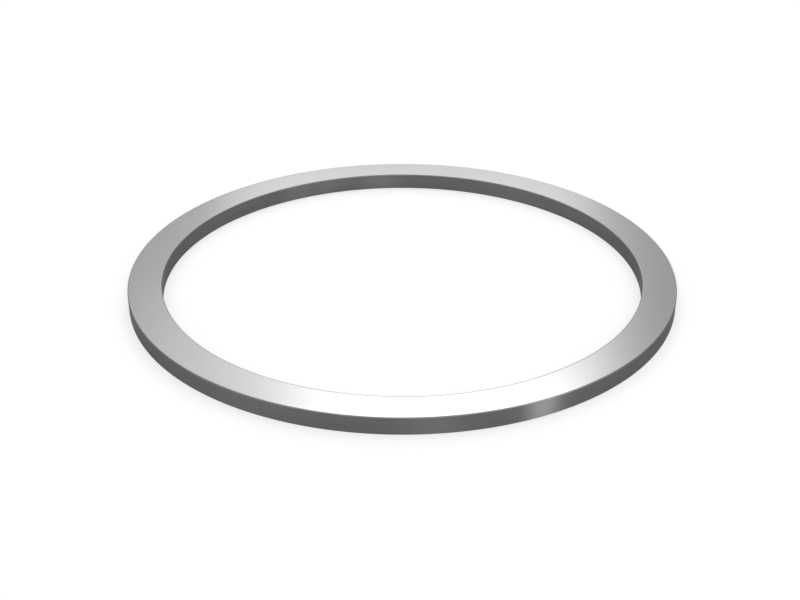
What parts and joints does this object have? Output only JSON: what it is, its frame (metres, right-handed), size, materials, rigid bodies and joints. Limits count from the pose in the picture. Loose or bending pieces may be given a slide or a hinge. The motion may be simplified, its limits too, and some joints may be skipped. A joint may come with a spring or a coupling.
{
  "type": "shim ring",
  "caption": "Thin flat steel shim ring of rectangular section with ground faces and lightly broken edges, for taking up end play on a shaft.",
  "frame": {"origin": "centre of the bore in the plane of the lower face, which the ring rests on", "axes": "+Z along the ring's axis, from the lower face to the upper face; X and Y lie in the lower face, and the ring is the same all round"},
  "size_m": [0.08, 0.08, 0.0025],
  "materials": {
    "steel": "fine ground faces, turned walls, bare"
  },
  "bodies": {
    "root": {"shim_ring": "steel"}
  },
  "joints": []
}
